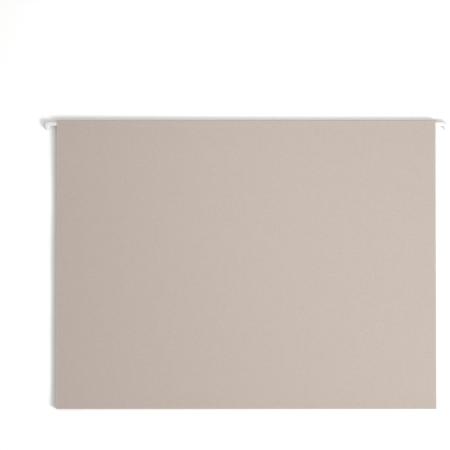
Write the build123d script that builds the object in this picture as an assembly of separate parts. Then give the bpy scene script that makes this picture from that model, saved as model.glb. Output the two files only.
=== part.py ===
from build123d import *
from math import degrees
import os

# Hanging file folder, letter size, closed and lying on its back panel. All sizes are in millimetres.
# X runs along the hanger rods, Y from the bottom fold up to the rods, Z up through the card.
# The origin is the middle of the folder's outline, on the surface that it lies on.

# Card: one scored sheet
card_width = 298.45  # side edge to side edge
folder_height = 227.3  # bottom fold to top edge
card_t = 0.3  # thickness of the sheet
fold_radius = 0.7  # centre line radius of each fold, at the scores and over the rods
score_gap = 0.04  # parting between two leaves of the card at a score

# Hems: the top of each panel turns over its rod and is glued to the inside
flap_depth = 18.0  # top edge down to the cut edge of the flap
hem_gap = 0.3  # between the two hems when the folder is closed
joggle_run = 3.0  # length over which the flap drops from the rod to the panel
joggle_radius = 1.5  # centre line radius of both bends of that drop
glue_t = 0.1  # thickness of the glue line
glue_margin = 1.0  # left dry between the glue and the flap's cut edge
glue_inset = 3.0  # left dry at each side edge

# Hanger rods: flat steel bars with a stamped hook at each end
rod_t = 1.2  # thickness of the steel
bar_height = 2.7  # steel, top edge to lower edge
rod_top_play = 0.35  # end of the fold over the rod, down to the coated bar
rod_side_play = 0.05  # coated bar to card, each side
rod_lower_play = 0.8  # coated bar down to where the flap starts to drop

# Hooks: a tine at each end drops past the bar and leaves a notch for the rail
rail_notch = 5.9  # card's side edge to the root of the coated tine
tine_root = 3.4  # steel width at the root
tine_tip = 1.0  # steel width at the tip
tine_lean = 1.25  # how far its outer edge leans in below the bar
tine_drop = 3.2  # bar's lower edge to the tip
shoulder_radius = 1.8  # outer top corner of the hook
knee_radius = 2.5  # where the outer edge starts to lean in
notch_radius = 0.8  # inner corner of the notch, in steel

# Coating on the hooks
coat_t = 0.25  # thickness of the plastic
coat_reach = 8.0  # how far it runs into the hem
coat_round = 0.35  # rounding of its long edges

# Thicknesses worked out from the sizes above
coated_t = rod_t + 2 * coat_t
coated_bar = bar_height + 2 * coat_t
tunnel = coated_t + 2 * rod_side_play
hem_t = 2 * card_t + tunnel
closed_t = 2 * hem_t + hem_gap
fold_outer = fold_radius + card_t / 2  # radius on the outside of a fold
tip_radius = 0.6 * tine_tip
hook_reach = rail_notch + tine_root + 2 * coat_t

# Heights and places worked out from them
bottom_y = -folder_height / 2
top_y = folder_height / 2
flap_y = top_y - flap_depth
bar_y = top_y - fold_outer - rod_top_play  # top edge of the coated bar
drop_y = bar_y - coated_bar - rod_lower_play  # where the flap starts to drop
coat_start = card_width / 2 - coat_reach
middle_plane = Plane.XY.offset(closed_t / 2)

# Angles round the lower fold, seen along X: towards the bottom edge, at the score, and towards the floor
edge_angle = 180
score_angle = 225
floor_angle = 270
part_angle = degrees(score_gap / 2 / fold_outer)


def card(path):
    """A leaf of card: a centre line of (Y, Z) points, given the sheet's thickness and the card's width."""
    with BuildPart() as leaf:
        with BuildSketch(Plane.YZ):
            trace(path, card_t)
        extrude(amount=card_width / 2, both=True)
    return leaf.part


def fold_arc(start, end):
    """Centre line of a stretch of the lower fold, between two angles."""
    return CenterArc((bottom_y + fold_outer, fold_outer), fold_radius, start, end - start)


def panel():
    """Back panel: its half of the lower fold, then flat up to the hem."""
    with BuildLine() as path:
        fold_arc(score_angle + part_angle, floor_angle)
        Line((bottom_y + fold_outer, card_t / 2), (flap_y, card_t / 2))
    return card(path.line)


def bottom_strip():
    """The strip between the two scores: upright along the bottom edge, with half of each fold."""
    with BuildLine() as path:
        lower = fold_arc(score_angle - part_angle, edge_angle)
        upper = mirror(lower, about=Plane.XZ.offset(-closed_t / 2))
        Line(lower @ 1, upper @ 1)
    return card(path.line)


def hem():
    """Back hem: up the panel, square over the rod, down past the rod and in to the glued flap."""
    edge_y = top_y - card_t / 2
    outer_z = card_t / 2
    inner_z = hem_t - card_t / 2
    flap_z = card_t + glue_t + card_t / 2
    with BuildLine() as path:
        FilletPolyline(
            (flap_y, outer_z),
            (edge_y, outer_z),
            (edge_y, inner_z),
            (drop_y, inner_z),
            (drop_y - joggle_run, flap_z),
            (flap_y, flap_z),
            radius=[fold_radius, fold_radius, joggle_radius, joggle_radius],
        )
    return card(path.line)


def glue_line():
    """Glue between the flap and its own panel, from the foot of the drop to short of the cut edge."""
    foot_y = drop_y - joggle_run - joggle_radius
    width = foot_y - flap_y - glue_margin
    line = Box(card_width - 2 * glue_inset, width, glue_t)
    return Pos(0, foot_y - width / 2, card_t + glue_t / 2) * line


def hook_outline():
    """Steel outline of the right half of a rod: half the bar and its hook."""
    bar_top = bar_y - coat_t
    bar_foot = bar_top - bar_height
    tip_y = bar_foot - tine_drop
    end_x = card_width / 2 + hook_reach - coat_t
    with BuildSketch() as outline:
        with BuildLine():
            edge = FilletPolyline(
                (0, bar_top),
                (end_x, bar_top),
                (end_x, bar_foot),
                (end_x - tine_lean, tip_y),
                (end_x - tine_lean - tine_tip, tip_y),
                (end_x - tine_root, bar_foot),
                (0, bar_foot),
                radius=[shoulder_radius, knee_radius, tip_radius, tip_radius, notch_radius],
            )
            Line(edge @ 1, edge @ 0)
        make_face()
    return outline.sketch


def rod():
    """Flat steel bar with a hook at each end, in the back hem."""
    half = extrude(hook_outline(), rod_t / 2, both=True)
    return Pos(0, 0, hem_t / 2) * (half + mirror(half, about=Plane.YZ))


def right_tip(steel):
    """Plastic skin round the right hook of a rod, rounded along its edges and open where the bar enters."""
    skin = extrude(offset(hook_outline(), coat_t), coated_t / 2, both=True)
    skin = split(skin, Plane.YZ.offset(coat_start), keep=Keep.TOP)
    faces = skin.faces().filter_by(Axis.Z)
    edges = (faces[0].edges() + faces[1].edges()).filter_by(
        lambda edge: edge.center().X > coat_start + coat_round
    )
    skin = fillet(edges, coat_round)
    return Pos(0, 0, hem_t / 2) * skin - steel


def build():
    """Every node by name. The front half is the back half turned over, but its hooks hang the same way."""
    back_rod = rod()
    back_right = right_tip(back_rod)
    back_left = mirror(back_right, about=Plane.YZ)
    back = {"panel": panel(), "hem": hem(), "hem_glue": glue_line()}
    hanger = {"rod": back_rod, "left_hook_tip": back_left, "right_hook_tip": back_right}
    lift = Pos(0, 0, closed_t - hem_t)
    nodes = {"bottom_fold": bottom_strip()}
    for name, shape in back.items():
        nodes["back_" + name] = shape
        nodes["front_" + name] = mirror(shape, about=middle_plane)
    for name, shape in hanger.items():
        nodes["back_" + name] = shape
        nodes["front_" + name] = lift * shape
    return nodes


os.makedirs("parts", exist_ok=True)
for node, shape in build().items():
    export_step(shape, f"parts/{node}.step")
    print(node, round(shape.volume, 2), "cubic mm")
print("closed thickness", closed_t, "over the hooks", card_width + 2 * hook_reach)
print("score at y", bottom_y + fold_outer * (1 - 0.5**0.5), "z", fold_outer * (1 - 0.5**0.5))
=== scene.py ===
import bpy
import numpy as np
from math import pi
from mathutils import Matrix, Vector


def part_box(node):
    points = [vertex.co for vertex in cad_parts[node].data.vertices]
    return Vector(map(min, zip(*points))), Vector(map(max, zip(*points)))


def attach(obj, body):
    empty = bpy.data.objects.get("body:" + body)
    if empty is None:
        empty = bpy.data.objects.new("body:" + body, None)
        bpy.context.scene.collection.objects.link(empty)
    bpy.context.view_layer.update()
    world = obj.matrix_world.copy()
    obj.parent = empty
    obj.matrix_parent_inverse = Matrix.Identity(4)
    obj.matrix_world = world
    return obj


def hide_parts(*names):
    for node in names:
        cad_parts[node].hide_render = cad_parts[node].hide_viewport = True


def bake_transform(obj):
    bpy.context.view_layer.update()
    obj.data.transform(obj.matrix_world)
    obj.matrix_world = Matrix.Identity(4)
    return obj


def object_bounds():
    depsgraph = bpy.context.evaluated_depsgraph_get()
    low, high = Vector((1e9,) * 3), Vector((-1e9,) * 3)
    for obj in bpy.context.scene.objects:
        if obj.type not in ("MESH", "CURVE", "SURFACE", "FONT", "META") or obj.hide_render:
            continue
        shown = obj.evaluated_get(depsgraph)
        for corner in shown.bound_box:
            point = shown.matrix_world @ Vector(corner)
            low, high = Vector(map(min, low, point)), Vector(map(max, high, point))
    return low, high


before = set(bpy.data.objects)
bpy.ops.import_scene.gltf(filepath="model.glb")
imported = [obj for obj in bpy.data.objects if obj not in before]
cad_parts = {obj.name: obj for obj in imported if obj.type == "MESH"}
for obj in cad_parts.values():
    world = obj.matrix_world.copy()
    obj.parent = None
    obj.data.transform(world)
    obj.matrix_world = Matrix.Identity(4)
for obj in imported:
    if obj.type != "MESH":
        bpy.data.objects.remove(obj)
cadLow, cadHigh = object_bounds()

# Shapes are worked out in millimetres in the CAD frame: X along the rods, Y from the bottom fold up to the
# rods, Z up through the card.
mm = 0.001


# Lowest and highest corner of a CAD node, in mm.
def cadBox(node):
    low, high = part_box(node)
    return np.array(low) / mm, np.array(high) / mm


hemLow, hemHigh = cadBox("back_hem")
coatLow, coatHigh = cadBox("back_right_hook_tip")
frontCoatLow = cadBox("front_right_hook_tip")[0]
glueLow, glueHigh = cadBox("back_hem_glue")
halfWidth = hemHigh[0]  # card, middle to side edge
topY, bottomY = hemHigh[1], cadLow.y / mm  # top edge and bottom edge
hemThick, flapY = hemHigh[2], hemLow[1]  # hem over the rod, and the cut edge of its flap
closedThick = cadHigh.z / mm


# Smooth step: 0 below low, 1 above high, and 3u^2 - 2u^3 of the share u between.
def ease(values, low, high):
    u = np.clip((values - low) / (high - low), 0, 1)
    return u * u * (3 - 2 * u)


# Even steps from a start to an end, the end left for the next stretch.
def steps(start, end, count):
    return np.linspace(start, end, count, endpoint=False)


# Bell curve: 1 at the middle, falling off over a width.
def bell(values, middle, width):
    return np.exp(-(((values - middle) / width) ** 2))


# Length along a path, from 0 at its first point.
def lengthAlong(path):
    return np.concatenate([[0], np.cumsum(np.hypot(*np.diff(path, axis=0).T))])


# Straight runs whose corners are arcs: each run stops radius / tan(half the corner's opening) short of the
# corner, and the arc turns about a centre on the corner's bisector.
def roundedRun(corners, radii, arcPoints=14):
    corners = np.array(corners, float)
    stretches = [corners[:1]]
    for before, corner, after, radius in zip(corners, corners[1:], corners[2:], radii):
        back, on = before - corner, after - corner
        back, on = back / np.linalg.norm(back), on / np.linalg.norm(on)
        halfOpen = np.arccos(np.clip(back @ on, -1, 1)) / 2
        centre = corner + (back + on) / np.linalg.norm(back + on) * radius / np.sin(halfOpen)
        first, last = (corner + way * radius / np.tan(halfOpen) - centre for way in (back, on))
        turn, sweep = pi - 2 * halfOpen, np.linspace(0, 1, arcPoints)[:, None]
        arc = (np.sin((1 - sweep) * turn) * first + np.sin(sweep * turn) * last) / np.sin(turn)
        stretches.append(centre + arc)
    return np.concatenate([*stretches, corners[-1:]])


# The same path with every straight longer than a step cut into even steps.
def fillSteps(path, longest):
    counts = np.maximum(1, np.ceil(np.hypot(*np.diff(path, axis=0).T) / longest)).astype(int)
    part = np.arange(counts.sum()) - np.repeat(np.cumsum(counts) - counts, counts)
    move = np.repeat(np.diff(path, axis=0) / counts[:, None], counts, axis=0)
    return np.concatenate([np.repeat(path[:-1], counts, axis=0) + move * part[:, None], path[-1:]])


# The same path in a given number of even steps.
def evenSteps(path, count):
    length = lengthAlong(path)
    even = np.linspace(0, length[-1], count)
    return np.column_stack([np.interp(even, length, path[:, k]) for k in (0, 1)])


# Squared ellipse: cosine and sine of the angle, each raised to 2 / power, with its sign. Power 2 is a plain
# ellipse.
def squaredRound(count, power):
    angle = steps(0, 2 * pi, count)
    return [np.sign(wave) * abs(wave) ** (2 / power) for wave in (np.cos(angle), np.sin(angle))]


# Quads between neighbours on a grid of rows and columns whose last column joins the first.
def tubeQuads(rows, columns):
    i, j = np.meshgrid(np.arange(rows - 1), np.arange(columns), indexing="ij")
    k = (j + 1) % columns
    corners = [i * columns + j, (i + 1) * columns + j, (i + 1) * columns + k, i * columns + k]
    return np.stack(corners, -1).reshape(-1, 4)


# Puts points (in mm) and faces into a new object at the origin. Faces from firstFlat on are flat with sharp
# edges, and have the last material.
def makePiece(name, points, faces, materials, firstFlat):
    mesh = bpy.data.meshes.new(name)
    mesh.from_pydata((points * mm).tolist(), [], faces)
    for material in materials:
        mesh.materials.append(material)
    flat = np.arange(len(faces)) >= firstFlat
    mesh.polygons.foreach_set("use_smooth", ~flat)
    mesh.polygons.foreach_set("material_index", flat.astype(np.int32) * (len(materials) - 1))
    loopEdge = np.empty(len(mesh.loops), np.int32)
    mesh.loops.foreach_get("edge_index", loopEdge)
    sharp = np.zeros(len(mesh.edges), bool)
    sharp[loopEdge[np.repeat(flat, [len(face) for face in faces])]] = True
    mesh.edges.foreach_set("use_edge_sharp", sharp)
    mesh.update()
    piece = bpy.data.objects.new(name, mesh)
    bpy.context.scene.collection.objects.link(piece)
    return piece


# A closed tube from a grid of sections: each end closes on a pole, the first one flat.
def makeTube(name, grid, poles, material, flipped):
    rows, columns = grid.shape[:2]
    j = np.arange(columns)
    k, last = (j + 1) % columns, (rows - 1) * columns
    firstCap = np.column_stack([np.full(columns, rows * columns), j, k])
    lastCap = np.column_stack([np.full(columns, rows * columns + 1), last + k, last + j])
    faces = [face for part in (tubeQuads(rows, columns), lastCap, firstCap) for face in part.tolist()]
    if flipped:
        faces = [face[::-1] for face in faces]
    points = np.concatenate([grid.reshape(-1, 3), poles])
    return makePiece(name, points, faces, [material], len(faces) - columns), points


# Keeps a number from 0 to 1 with every point, for a material to read.
def addMark(piece, name, values):
    mark = piece.data.attributes.new(name, "FLOAT", "POINT")
    mark.data.foreach_set("value", np.clip(values, 0, 1).astype(np.float32).ravel())


# Keeps a place (in mm) with every point, for patterns that follow the sheet round its folds.
def addPlace(piece, name, places):
    mark = piece.data.attributes.new(name, "FLOAT_VECTOR", "POINT")
    mark.data.foreach_set("vector", (places * mm).astype(np.float32).ravel())


# Materials

# Sets a node's inputs: a socket is linked, anything else is a fixed value.
def setInputs(tree, node, inputs):
    for key, value in inputs.items():
        if isinstance(value, bpy.types.NodeSocket):
            tree.links.new(value, node.inputs[key])
        else:
            node.inputs[key].default_value = value


# A new shader node with its settings and inputs.
def addNode(tree, kind, inputs, **settings):
    node = tree.nodes.new("ShaderNode" + kind)
    for key, value in settings.items():
        setattr(node, key, value)
    setInputs(tree, node, inputs)
    return node


# A new material, with its node tree and its shader.
def startMaterial(name):
    material = bpy.data.materials.new(name)
    material.use_nodes = True
    return material, material.node_tree, material.node_tree.nodes["Principled BSDF"]


# Place in the object's own frame.
def objectPlace(tree):
    return addNode(tree, "TexCoord", {}).outputs["Object"]


# What addMark (output Fac) or addPlace (output Vector) kept with the points.
def markNode(tree, name, output="Fac"):
    return addNode(tree, "Attribute", {}, attribute_name=name).outputs[output]


# Noise on a place, turned about Z and then drawn out: its grains have the given size in mm.
def grainNode(tree, place, size, detail=2.0, rough=0.5, turn=0.0):
    inputs = {"Vector": place, "Scale": [length * mm for length in size], "Rotation": (0, 0, turn)}
    spread = addNode(tree, "Mapping", inputs, vector_type="TEXTURE")
    noise = {"Vector": spread.outputs[0], "Scale": 1.0, "Detail": detail, "Roughness": rough}
    return addNode(tree, "TexNoise", noise).outputs["Fac"]


# Maps a range of a pattern to a range of numbers.
def rangeNode(tree, pattern, fromLow, fromHigh, toLow, toHigh):
    inputs = {"Value": pattern, "From Min": fromLow, "From Max": fromHigh, "To Min": toLow, "To Max": toHigh}
    return addNode(tree, "MapRange", inputs).outputs["Result"]


# One sum or product of two patterns or numbers.
def mathNode(tree, operation, a, b):
    return addNode(tree, "Math", {0: a, 1: b}, operation=operation).outputs[0]


# Half the sum of two patterns.
def meanNode(tree, a, b):
    return mathNode(tree, "MULTIPLY", mathNode(tree, "ADD", a, b), 0.5)


# Mixes two colours: factor 0 keeps the first.
def mixNode(tree, factor, first, second):
    inputs = {0: factor, 6: first, 7: (*second, 1)}
    return addNode(tree, "Mix", inputs, data_type="RGBA").outputs[2]


# Colours a pattern: dark up to low, light from high on.
def rampNode(tree, pattern, dark, light, low=0.3, high=0.7):
    ramp = addNode(tree, "ValToRGB", {"Fac": pattern})
    for stop, (at, colour) in zip(ramp.color_ramp.elements, ((low, dark), (high, light))):
        stop.position, stop.color = at, (*colour, 1)
    return ramp.outputs["Color"]


# Surface relief from a pattern, with its depth in mm.
def bumpNode(tree, height, depth, strength):
    return addNode(tree, "Bump", {"Height": height, "Distance": depth * mm, "Strength": strength}).outputs[0]


cardLook = {
    "dark": (0.398, 0.341, 0.305),  # the two ends of the mottling
    "light": (0.435, 0.373, 0.334),
    "spread": (0.38, 0.62),  # where they lie in the pulp's pattern
    "cloud": (9, 12, 9),  # grain sizes of the pulp, mm
    "grain": (2.4, 2.4, 2.4),
    "strand": (0.4, 2.4, 1.1),
    "strandTurns": (0.5, 2.0),
    "paleFibre": (0.53, 0.47, 0.42),  # single fibres
    "darkFibre": (0.28, 0.23, 0.20),
    "fibre": (0.16, 2.4, 1.0),  # across, along and through, mm
    "fibreTurns": (0.35, 1.15, 1.95, 2.75),  # directions, every other one pale
    "fibrePeaks": (0.64, 0.72),  # a fibre starts and is full at these heights of its noise
    "fibreStrength": 0.36,
    "fibreRise": 0.5,  # share of that strength that stands up as relief
    # The pale rub colour and its patches also paint a highlight on the top crease over the rod, where its
    # rounding is in shade.
    "rubbed": (0.54, 0.48, 0.43),  # folds and edges worn pale
    "rubPatches": (0.4, 0.9),  # least and most of the wear that shows, with the grain
    "roughness": (0.76, 0.90),
    "gloss": 0.25,
    "tooth": 0.06,  # depth of the surface's tooth, mm
    "relief": 0.6,  # share of that depth that shows
}


# Pulp is a mean of clouds, grain and strands lying two ways. Single fibres are the peaks of drawn-out noise,
# lying four ways, and stand up from it. Folds and edges are made paler where the wear-and-highlight mark is
# set:
# rubbed wear, and on the top crease over the rod also a painted highlight against its shade. All of it
# follows the sheet as it was before folding.
def cardStock(look):
    material, tree, shader = startMaterial("cardStock")
    place = markNode(tree, "flatPlace", "Vector")
    cloud = grainNode(tree, place, look["cloud"], 3.0)
    grain = grainNode(tree, place, look["grain"], 4.0, 0.6)
    strands = [grainNode(tree, place, look["strand"], 3.0, 0.6, turn) for turn in look["strandTurns"]]
    mottle = meanNode(tree, meanNode(tree, cloud, grain), grain)  # a quarter of it cloud
    pulp = meanNode(tree, mottle, meanNode(tree, *strands))
    colour, height = rampNode(tree, pulp, look["dark"], look["light"], *look["spread"]), pulp
    for number, turn in enumerate(look["fibreTurns"]):
        peaks = grainNode(tree, place, look["fibre"], 1.0, 0.5, turn)
        fibre = rangeNode(tree, peaks, *look["fibrePeaks"], 0.0, look["fibreStrength"])
        colour = mixNode(tree, fibre, colour, look["darkFibre" if number % 2 else "paleFibre"])
        height = mathNode(tree, "ADD", height, mathNode(tree, "MULTIPLY", fibre, look["fibreRise"]))
    patches = rangeNode(tree, grain, 0.35, 0.65, *look["rubPatches"])
    # Paler where the mark is set: worn card, and on the top crease a painted highlight as well.
    rub = mathNode(tree, "MULTIPLY", markNode(tree, "wearAndHighlight"), patches)
    setInputs(tree, shader, {
        "Base Color": mixNode(tree, rub, colour, look["rubbed"]),
        "Roughness": rangeNode(tree, pulp, 0.35, 0.65, *look["roughness"]),
        "Specular IOR Level": look["gloss"],
        "Normal": bumpNode(tree, height, look["tooth"], look["relief"]),
    })
    return material


cutLook = {
    "dark": (0.42, 0.37, 0.33),
    "light": (0.56, 0.50, 0.45),
    "ply": (2.0, 2.0, 0.07),  # grain sizes, mm
    "fuzz": (0.4, 0.4, 0.4),
    "roughness": (0.85, 0.95),
    "gloss": 0.2,
    "tooth": 0.04,
    "relief": 0.7,
}


# Raw cut edge: thin plies across the thickness with a fuzzy grain.
def cardCut(look):
    material, tree, shader = startMaterial("cardCut")
    place = objectPlace(tree)
    plies = grainNode(tree, place, look["ply"], 2.0, 0.6)
    fuzz = grainNode(tree, place, look["fuzz"], 3.0, 0.6)
    pattern = meanNode(tree, plies, fuzz)
    setInputs(tree, shader, {
        "Base Color": rampNode(tree, pattern, look["dark"], look["light"]),
        "Roughness": rangeNode(tree, fuzz, 0.3, 0.7, *look["roughness"]),
        "Specular IOR Level": look["gloss"],
        "Normal": bumpNode(tree, pattern, look["tooth"], look["relief"]),
    })
    return material


coatLook = {
    "shade": (0.66, 0.66, 0.65),
    "white": (0.74, 0.74, 0.73),
    "rubbed": (0.47, 0.46, 0.44),  # where the rail rubs
    "rubPatches": (0.1, 0.6),  # least and most of the rubbing that shows, with the scuffs
    "ripple": (1.1, 1.1, 1.1),  # grain sizes, mm
    "smudge": (3.8, 3.8, 3.8),
    "scuff": (0.2, 1.1, 0.2),
    "roughness": (0.30, 0.46),
    "peel": 0.02,  # depth of the dip coat's ripple, mm
    "relief": 0.5,
    "softness": 0.12,
    "softDepth": 0.4,
}


# Dip-coated plastic: a faint ripple, uneven gloss, and grey rubbing where the rub mark is set.
def hookCoating(look):
    material, tree, shader = startMaterial("hookCoating")
    place = objectPlace(tree)
    ripple = grainNode(tree, place, look["ripple"], 2.0)
    smudge = grainNode(tree, place, look["smudge"], 3.0)
    scuff = grainNode(tree, place, look["scuff"], 2.0, 0.6)
    colour = rampNode(tree, smudge, look["shade"], look["white"])
    patches = rangeNode(tree, scuff, 0.4, 0.65, *look["rubPatches"])
    rub = mathNode(tree, "MULTIPLY", markNode(tree, "rub"), patches)
    setInputs(tree, shader, {
        "Base Color": mixNode(tree, rub, colour, look["rubbed"]),
        "Roughness": rangeNode(tree, smudge, 0.3, 0.7, *look["roughness"]),
        "Subsurface Weight": look["softness"],
        "Subsurface Scale": look["softDepth"] * mm,
        "Normal": bumpNode(tree, ripple, look["peel"], look["relief"]),
    })
    return material


steelLook = {
    "dark": (0.42, 0.42, 0.43),
    "light": (0.60, 0.60, 0.61),
    "streak": (40, 0.17, 0.17),  # grain sizes, mm
    "patch": (6, 6, 6),
    "roughness": (0.26, 0.44),
    "scratch": 0.01,  # depth, mm
    "relief": 0.5,
}


# Drawn steel strip: streaks along X, with duller patches.
def rodSteel(look):
    material, tree, shader = startMaterial("rodSteel")
    place = objectPlace(tree)
    streak = grainNode(tree, place, look["streak"], 3.0, 0.6)
    patch = grainNode(tree, place, look["patch"], 3.0)
    setInputs(tree, shader, {
        "Base Color": rampNode(tree, streak, look["dark"], look["light"]),
        "Roughness": rangeNode(tree, patch, 0.3, 0.7, *look["roughness"]),
        "Metallic": 1.0,
        "Normal": bumpNode(tree, streak, look["scratch"], look["relief"]),
    })
    return material


glueLook = {
    "thin": (0.80, 0.75, 0.60),
    "thick": (0.66, 0.58, 0.40),
    "film": (4.2, 1.1, 1.1),  # grain size, mm
    "roughness": (0.30, 0.50),
    "blobs": 0.03,  # depth, mm
    "relief": 0.6,
    "softness": 0.3,
    "softDepth": 0.3,
}


# Dried glue: uneven film, yellower where it is thick.
def hemGlue(look):
    material, tree, shader = startMaterial("hemGlue")
    film = grainNode(tree, objectPlace(tree), look["film"], 3.0)
    setInputs(tree, shader, {
        "Base Color": rampNode(tree, film, look["thin"], look["thick"]),
        "Roughness": rangeNode(tree, film, 0.3, 0.7, *look["roughness"]),
        "Subsurface Weight": look["softness"],
        "Subsurface Scale": look["softDepth"] * mm,
        "Normal": bumpNode(tree, film, look["blobs"], look["relief"]),
    })
    return material


stockMaterial, cutMaterial = cardStock(cardLook), cardCut(cutLook)
coatMaterial, steelMaterial, glueMaterial = hookCoating(coatLook), rodSteel(steelLook), hemGlue(glueLook)
allMaterials = (stockMaterial, cutMaterial, coatMaterial, steelMaterial, glueMaterial)
print("materials:", ", ".join(material.name for material in allMaterials))

# Card

cardSheet = {
    "thickness": 0.3,
    "foldRadius": 0.7,  # centre line of the lower fold
    "topRadius": 0.4,  # the two creases over the rod
    "glue": 0.1,  # between the flap and its panel
    "dropStart": 5.2,  # top edge down to where the flap leaves the rod
    "dropRun": 3.0,  # from there down to where it meets the panel
    "dropRadius": 1.5,
    "longestStep": 1.7,
    "stations": 121,  # across the width, closer together at the side edges
    "groove": 0.05,  # depth of each score in the face; half of it stands out on the reverse
    "grooveWidth": 0.25,
    # The top crease is made pale partly as rubbed wear and partly as a painted highlight that lightens its
    # shade.
    "topWearAndHighlight": 1.0,  # how pale the card is rubbed: the outer crease over the rod
    "topWearAndHighlightAt": 0.9,  # past the middle of the top edge
    "topWearAndHighlightWidth": 0.7,
    "scoreWear": 0.1,
    "scoreWearWidth": 0.4,
    "insideWear": 0.4,  # share of both on the reverse
    "sideWear": 0.6,  # side edges
    "sideWearWidth": 0.5,
    "layerGap": 7,  # between the pulp patterns of face and reverse, so that they differ
}
sagShape = {
    "hemLean": 0.22,  # how far the face over the rod leans in towards the panel
    "leanOver": (107.6, 112.6),  # Y range of that lean
    "leanEnds": (126, 139),  # X range over which it fades out before the coated hooks
    "dipRun": 5.0,  # the panel falls away above the bottom fold over about this
    "hemRun": (64, 104),  # Y range over which it comes back out to the hem
    "sideStiffness": 0.35,  # share of the bow that the side edges lack
    "waveLengths": (118.0, 71.0),
}
frontSag = {"bow": 0.55, "wave": 0.55, "waveReach": 32.0, "seed": 3}  # mm towards the pocket
backSag = {"bow": 0.12, "wave": 0.25, "waveReach": 24.0, "seed": 8}

halfCard = cardSheet["thickness"] / 2
foldOuter = cardSheet["foldRadius"] + halfCard
innerZ = hemThick - halfCard  # centre line of the card on the rod's inner side
flapZ = 3 * halfCard + cardSheet["glue"]  # and of the glued flap


# How far the face stands in towards the pocket, in mm: the hem's lean, a bow over the panel,
# and waves that die away from the side edges.
def sagField(x, y, shape, sag):
    random = np.random.default_rng(sag["seed"])
    overRod = (1 - ease(abs(x), *shape["leanEnds"])) * (1 - ease(y, *shape["leanOver"]))
    nearHem = ease(y, *shape["hemRun"])
    lean = shape["hemLean"] * overRod * nearHem
    aboveFold = np.maximum(y - bottomY - foldOuter, 0)
    inPanel = (1 - np.exp(-aboveFold / shape["dipRun"])) * (1 - nearHem)
    bow = sag["bow"] * (1 - shape["sideStiffness"] * (x / halfWidth) ** 2) * inPanel
    phase = random.uniform(0, 2 * pi, (4, 1, 1))
    length = np.array(shape["waveLengths"])[:, None, None]
    right = np.sin(2 * pi * y / length + phase[:2]).mean(0)
    left = np.sin(2 * pi * y / length + phase[2:]).mean(0)
    toRight = ease(x, -halfWidth, halfWidth)
    swell = 0.5 + 0.5 * (right * toRight + left * (1 - toRight))
    wave = sag["wave"] * swell * np.exp(-(halfWidth - abs(x)) / sag["waveReach"]) * inPanel
    return lean + bow + wave


# Centre line of half the sheet, as (Y, Z): up the glued flap, out over the rod, round the top edge, down the
# face and round the lower fold to the middle of the bottom strip.
def sheetLine(sheet):
    dropTop = topY - sheet["dropStart"]
    corners = [
        (flapY, flapZ), (dropTop - sheet["dropRun"], flapZ), (dropTop, innerZ), (topY - halfCard, innerZ),
        (topY - halfCard, halfCard), (bottomY + halfCard, halfCard), (bottomY + halfCard, closedThick / 2),
    ]
    drop, top = sheet["dropRadius"], sheet["topRadius"]
    return fillSteps(roundedRun(corners, [drop, drop, top, top, sheet["foldRadius"]]), sheet["longestStep"])


# One half of the folded sheet as a closed solid. Its profile, the face and then the reverse, lies half a
# thickness each side of the centre line. It is carried across the width and moved in by the sag: flap and
# panel take all of it, the stretch round the rod none. mirrored turns it over for the front.
def makeSheet(name, sheet, shape, sag, mirrored):
    line = sheetLine(sheet)
    travel = lengthAlong(line)
    along = np.gradient(line, travel, axis=0)
    outward = np.column_stack([-along[:, 1], along[:, 0]]) / np.hypot(*along.T)[:, None]
    topAt = travel[np.argmax(line[:, 0] - 0.01 * abs(line[:, 1] - hemThick / 2))]  # middle of the top edge
    scoreAt = travel[-1] - (closedThick / 2 - foldOuter) - pi / 4 * sheet["foldRadius"]
    share = np.where(travel < topAt, 1 - ease(line[:, 1], flapZ, innerZ), 1)
    press = sheet["groove"] * bell(travel, scoreAt, sheet["grooveWidth"])[:, None]
    face = line + outward * (halfCard - press)
    reverse = line - outward * (halfCard + 0.5 * press)
    loop, loopShare = np.concatenate([face, reverse[::-1]]), np.concatenate([share, share[::-1]])

    rows, columns, count = sheet["stations"], 2 * len(line), len(line)
    x = np.repeat(halfWidth * np.sin(np.linspace(-pi / 2, pi / 2, rows))[:, None], columns, axis=1)
    y = np.repeat(loop[None, :, 0], rows, axis=0)
    z = loop[None, :, 1] + sagField(x, y, shape, sag) * loopShare
    points = np.stack([x, y, closedThick - z if mirrored else z], -1)
    quads = tubeQuads(rows, columns)
    column = quads[:, 0] % columns
    rim = (column == count - 1) | (column == columns - 1)  # middle of the bottom strip, flap's cut edge
    i = np.arange(count - 1)
    sideEdge = np.column_stack([i, i + 1, columns - 2 - i, columns - 1 - i])
    faces = np.concatenate([quads[~rim], quads[rim], sideEdge, sideEdge[:, ::-1] + (rows - 1) * columns])
    if mirrored:
        faces = faces[:, ::-1]
    piece = makePiece(name, points.reshape(-1, 3), faces.tolist(), [stockMaterial, cutMaterial], (~rim).sum())

    # Pale marks: on the top crease rubbed wear plus a painted highlight, on the scores and side edges wear
    # only.
    foldWearAndHighlight = sheet["topWearAndHighlight"] * bell(travel, topAt + sheet["topWearAndHighlightAt"], sheet["topWearAndHighlightWidth"])
    foldWearAndHighlight = foldWearAndHighlight + sheet["scoreWear"] * bell(travel, scoreAt, sheet["scoreWearWidth"])
    loopWearAndHighlight = np.concatenate([foldWearAndHighlight, sheet["insideWear"] * foldWearAndHighlight[::-1]])
    sideWorn = sheet["sideWear"] * np.exp(-(halfWidth - abs(x)) / sheet["sideWearWidth"])
    addMark(piece, "wearAndHighlight", loopWearAndHighlight + sideWorn)
    flatY = 2 * travel[-1] - travel if mirrored else travel  # the two halves run on into each other
    loopFlat, layer = np.concatenate([flatY, flatY[::-1]]), np.repeat([0, sheet["layerGap"]], count)
    addPlace(piece, "flatPlace", np.stack(np.broadcast_arrays(x, loopFlat, layer), -1))
    return piece


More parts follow.
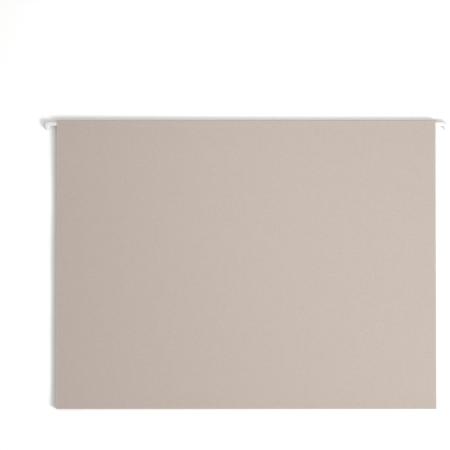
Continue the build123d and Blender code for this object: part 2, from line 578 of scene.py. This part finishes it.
cardBack = makeSheet("cardBack", cardSheet, sagShape, backSag, False)
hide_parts("back_panel", "back_hem", "bottom_fold")
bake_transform(cardBack)

cardFront = makeSheet("cardFront", cardSheet, sagShape, frontSag, True)
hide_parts("front_panel", "front_hem")
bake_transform(cardFront)
print("card: two halves,", len(cardBack.data.polygons) + len(cardFront.data.polygons), "faces")

# Glue lines

glueBead = {
    "ripple": 0.35,  # how far its long edges wander, mm
    "rippleLengths": (23.0, 61.0),
    "thinner": 0.96,  # share of the space under the flap
    "square": 4,  # section's power
    "stations": 160,
    "round": 16,  # points round the section
    "seed": 5,
}


# Glue film in a hem: a flat squared ellipse carried along X, its two long edges wandering, moved in with the
# panel.
def makeGlue(name, glue, sag, mirrored):
    random = np.random.default_rng(glue["seed"] + mirrored)
    phase = random.uniform(0, 2 * pi, (2, 2, 1))
    x = np.linspace(glueLow[0], glueHigh[0], glue["stations"])
    swing = np.sin(2 * pi * x / np.array(glue["rippleLengths"])[:, None] + phase).mean(1)
    low = glueLow[1] + glue["ripple"] * (1 + swing[0])
    high = glueHigh[1] - glue["ripple"] * (1 + swing[1])
    across, up = squaredRound(glue["round"], glue["square"])
    x = np.repeat(x[:, None], glue["round"], axis=1)
    y = ((low + high) / 2)[:, None] + ((high - low) / 2)[:, None] * across
    halfThick = (glueHigh[2] - glueLow[2]) / 2
    z = glueLow[2] + halfThick * (1 + glue["thinner"] * up) + sagField(x, y, sagShape, sag)
    grid = np.stack([x, y, closedThick - z if mirrored else z], -1)
    piece, _ = makeTube(name, grid, grid[[0, -1]].mean(1), glueMaterial, not mirrored)
    return piece


for half, sag in (("back", backSag), ("front", frontSag)):
    gluePiece = makeGlue(half + "GlueLine", glueBead, sag, half == "front")
    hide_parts(half + "_hem_glue")
    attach(gluePiece, half + "_leaf")
print("glue: two lines")

# Hooks

hookCoat = {
    "barHeight": 3.2,  # coated bar, top to lower edge
    "railNotch": 5.9,  # card's side edge to the root of the tine
    "lead": 1.2,  # the hook's edges start this far before the notch root
    "lean": 1.25,  # outer edge leans in by this below the bar
    "tipWidth": 1.5,
    "shoulder": 2.05,  # corner radii
    "knee": 2.75,
    "tip": 0.74,
    "notch": 0.55,
    "square": 3.2,  # section's power
    "barRows": 24,
    "hookRows": 64,
    "round": 40,  # points round the section
    "rubWidth": 0.45,  # of the mark that the rail leaves on the bar's lower edge
    "rubFade": 1.0,  # at both ends of that mark
}


# Coating of one hook: a squared ellipse spans from the outer edge to the notch edge and is carried along both
# edges, from inside the hem, round the shoulder to the tip, where it closes to a point.
def makeCoat(name, coat, lowZ, mirrored):
    startX, tipY, _ = coatLow
    endX, barTop, _ = coatHigh
    halfThick = (coatHigh[2] - coatLow[2]) / 2
    barFoot = barTop - coat["barHeight"]
    notchRoot = halfWidth + coat["railNotch"]
    outerTip = (endX - coat["lean"], tipY)
    innerTip = (outerTip[0] - coat["tipWidth"], tipY)
    tipMid = (outerTip[0] - coat["tipWidth"] / 2, tipY)
    hookX = notchRoot - coat["lead"]
    outerRun = roundedRun([(hookX, barTop), (endX, barTop), (endX, barFoot), outerTip, tipMid],
                          [coat["shoulder"], coat["knee"], coat["tip"]])
    innerRun = roundedRun([(hookX, barFoot), (notchRoot, barFoot), innerTip, tipMid],
                          [coat["notch"], coat["tip"]])
    barX = steps(startX, hookX, coat["barRows"])
    outer, inner = (
        np.concatenate([np.column_stack([barX, np.full_like(barX, barY)]), evenSteps(run, coat["hookRows"])])
        for barY, run in ((barTop, outerRun), (barFoot, innerRun)))
    width = np.hypot(*(outer - inner).T)[:, None]
    height = halfThick * np.sqrt(1 - (1 - np.clip(width / coat["tipWidth"], 0, 1)) ** 2)
    across, up = squaredRound(coat["round"], coat["square"])
    middle, reach = (outer + inner) / 2, (outer - inner) / 2
    flat = middle[:, None, :] + reach[:, None, :] * across[None, :, None]
    grid = np.concatenate([flat, (lowZ + halfThick + height * up)[:, :, None]], -1)
    poles = np.column_stack([middle[[0, -1]], np.full(2, lowZ + halfThick)])
    turn = np.array([-1 if mirrored else 1, 1, 1])
    piece, points = makeTube(name, grid[:-1] * turn, poles * turn, coatMaterial, not mirrored)
    far, fade = abs(points[:, 0]), coat["rubFade"]
    seat = ease(far, halfWidth, halfWidth + fade) * (1 - ease(far, notchRoot - fade, notchRoot + fade))
    addMark(piece, "rub", seat * bell(points[:, 1], barFoot, coat["rubWidth"]))
    return piece


for half, lowZ in (("back", coatLow[2]), ("front", frontCoatLow[2])):
    for side in ("left", "right"):
        coatPiece = makeCoat(f"{half}{side.title()}HookCoat", hookCoat, lowZ, side == "left")
        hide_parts(f"{half}_{side}_hook_tip")
        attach(coatPiece, half + "_hanger")
    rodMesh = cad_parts[half + "_rod"].data  # the CAD's steel rod stays
    rodMesh.materials.clear()
    rodMesh.materials.append(steelMaterial)
print("hooks: four coatings over the two CAD rods")

# Studio

studio = {
    "floorSize": 16.0,
    "floorDrop": 0.0002,  # just under the card
    "floorTone": (0.93, 0.93, 0.925),
    "fill": 0.661,  # even white surroundings
    # The key light stands to the lower right and casts the shadows. The top light is over the card and turned
    # to its upper right corner.
    "key": {"place": (0.700, -0.558, 0.847), "aim": (0, 0, 0), "size": 0.43, "power": 11.37},
    "top": {"place": (0.005, 0.054, 0.340), "aim": (0.27, 0.26, 0), "size": 0.15, "power": 0.352},
    "lookAt": (-0.01673, 0.03117),  # a little up and left of the middle
    "cameraFar": 1.605,
    "cameraTilt": 2.1,  # degrees from straight down, with the bottom edge nearer
    "lens": 162.6,
}


# A plain square of matt paper.
def makeFloor(setup):
    corners = np.array([(-1, -1), (1, -1), (1, 1), (-1, 1)]) * setup["floorSize"] / 2
    mesh = bpy.data.meshes.new("floor")
    mesh.from_pydata(np.column_stack([corners, np.full(4, -setup["floorDrop"])]).tolist(), [], [(0, 1, 2, 3)])
    material, tree, shader = startMaterial("floorPaper")
    paper = {"Base Color": (*setup["floorTone"], 1), "Roughness": 0.9, "Specular IOR Level": 0.1}
    setInputs(tree, shader, paper)
    mesh.materials.append(material)
    floor = bpy.data.objects.new("floor", mesh)
    bpy.context.scene.collection.objects.link(floor)


# A square of light facing the place it is aimed at.
def makeLight(name, setup):
    lamp = bpy.data.lights.new(name, "AREA")
    lamp.size, lamp.energy = setup["size"], setup["power"]
    light = bpy.data.objects.new(name, lamp)
    light.location = setup["place"]
    light.rotation_euler = (Vector(setup["aim"]) - light.location).to_track_quat("-Z", "Y").to_euler()
    bpy.context.scene.collection.objects.link(light)


# White all round.
def makeWorld(setup):
    world = bpy.data.worlds.new("studioWhite")
    world.use_nodes = True
    backdrop = world.node_tree.nodes["Background"]
    setInputs(world.node_tree, backdrop, {"Color": (1, 1, 1, 1), "Strength": setup["fill"]})
    bpy.context.scene.world = world


# Looks at a place on the floor from a distance, tilted from straight down.
def makeCamera(setup):
    (lookX, lookY), far, tilt = setup["lookAt"], setup["cameraFar"], np.radians(setup["cameraTilt"])
    lensData = bpy.data.cameras.new("camera")
    lensData.lens, lensData.sensor_width = setup["lens"], 36.0
    camera = bpy.data.objects.new("camera", lensData)
    camera.location = (lookX, lookY - far * np.sin(tilt), far * np.cos(tilt))
    camera.rotation_euler = (tilt, 0, 0)
    bpy.context.scene.collection.objects.link(camera)
    bpy.context.scene.camera = camera


makeFloor(studio)
makeLight("keyLight", studio["key"])
makeLight("topLight", studio["top"])
makeWorld(studio)
makeCamera(studio)
bpy.context.scene.view_settings.view_transform = "Standard"
print("studio: floor, two lights, camera")
